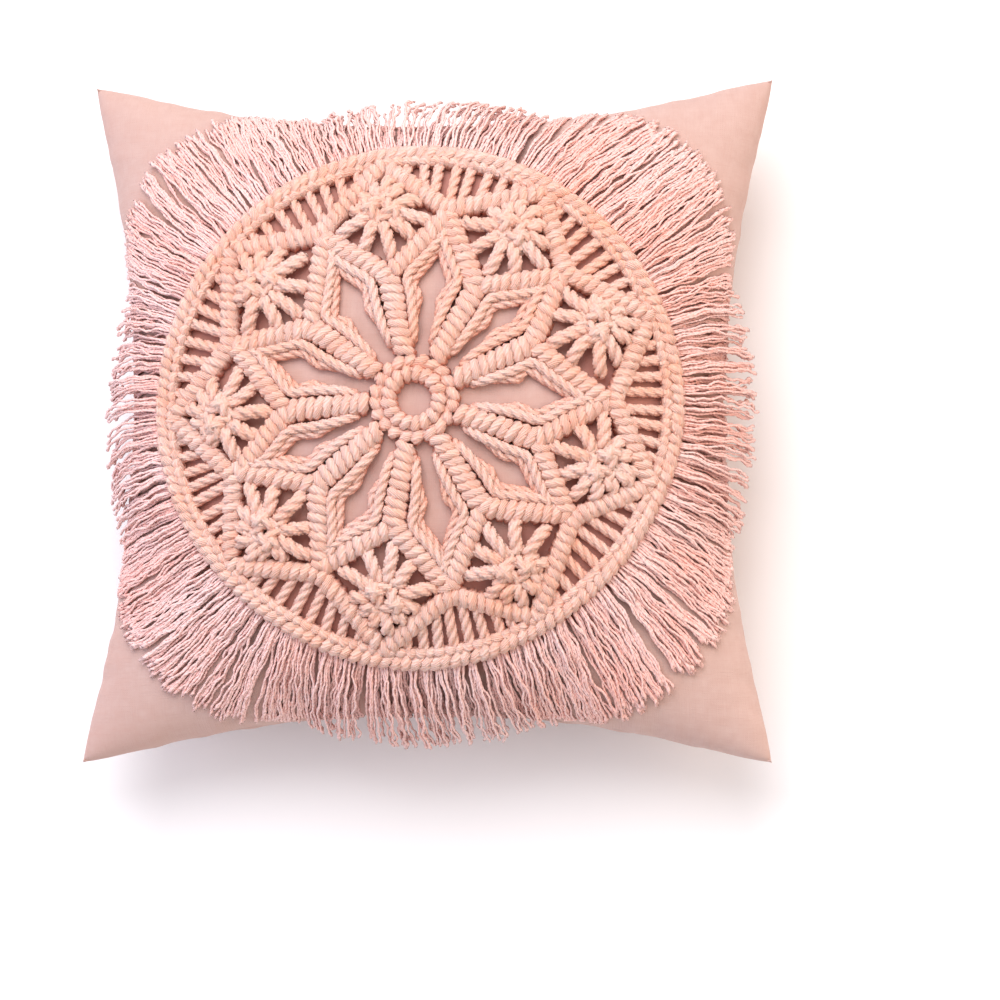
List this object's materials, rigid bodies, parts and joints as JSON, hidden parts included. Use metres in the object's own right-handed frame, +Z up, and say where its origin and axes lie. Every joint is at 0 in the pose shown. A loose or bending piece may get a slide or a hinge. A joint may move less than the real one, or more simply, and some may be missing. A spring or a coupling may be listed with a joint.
{
  "type": "floor cushion",
  "caption": "Square stuffed floor cushion in an envelope cover, with a round knotted-cord star panel and a long yarn fringe on its front.",
  "frame": {"origin": "on the floor under the middle of the cushion, which lies on its back", "axes": "+Z up through the cushion's thickness, out of the knotted front; +Y in the plan square to the back opening, towards the upper back panel; +X along the opening"},
  "size_m": [0.44, 0.44, 0.1542],
  "materials": {
    "cover_cloth": "plain-woven cotton, matt, pale pink",
    "knotted_cord": "loose three-ply cotton cord, matt, peach-pink",
    "fringe_yarn": "combed-out cotton yarn, matt, pink",
    "sewing_thread": "cotton sewing thread",
    "insert_cloth": "thin undyed cotton",
    "fibre_fill": "loose polyester fibre"
  },
  "bodies": {
    "root": {"front_panel": "cover_cloth", "back_panel_upper": "cover_cloth", "back_panel_lower": "cover_cloth", "insert_cover_top": "insert_cloth", "insert_cover_bottom": "insert_cloth", "insert_fill": "fibre_fill", "centre_ring_core": "knotted_cord", "centre_ring_knots": "knotted_cord", "centre_ring_tacking": "sewing_thread", "outer_ring_core": "knotted_cord", "outer_ring_knots": "knotted_cord", "outer_ring_tacking": "sewing_thread", "petal_rib_1": "knotted_cord", "star_rib_1": "knotted_cord", "flower_knot_1": "knotted_cord", "fan_cords_1": "knotted_cord", "fringe_1": "fringe_yarn", "petal_rib_2": "knotted_cord", "star_rib_2": "knotted_cord", "flower_knot_2": "knotted_cord", "fan_cords_2": "knotted_cord", "fringe_2": "fringe_yarn", "petal_rib_3": "knotted_cord", "star_rib_3": "knotted_cord", "flower_knot_3": "knotted_cord", "fan_cords_3": "knotted_cord", "fringe_3": "fringe_yarn", "petal_rib_4": "knotted_cord", "star_rib_4": "knotted_cord", "flower_knot_4": "knotted_cord", "fan_cords_4": "knotted_cord", "fringe_4": "fringe_yarn", "petal_rib_5": "knotted_cord", "star_rib_5": "knotted_cord", "flower_knot_5": "knotted_cord", "fan_cords_5": "knotted_cord", "fringe_5": "fringe_yarn", "petal_rib_6": "knotted_cord", "star_rib_6": "knotted_cord", "flower_knot_6": "knotted_cord", "fan_cords_6": "knotted_cord", "fringe_6": "fringe_yarn", "petal_rib_7": "knotted_cord", "star_rib_7": "knotted_cord", "flower_knot_7": "knotted_cord", "fan_cords_7": "knotted_cord", "fringe_7": "fringe_yarn", "petal_rib_8": "knotted_cord", "star_rib_8": "knotted_cord", "flower_knot_8": "knotted_cord", "fan_cords_8": "knotted_cord", "fringe_8": "fringe_yarn", "petal_rib_9": "knotted_cord", "star_rib_9": "knotted_cord", "flower_knot_9": "knotted_cord", "fan_cords_9": "knotted_cord", "fringe_9": "fringe_yarn"}
  },
  "joints": []
}
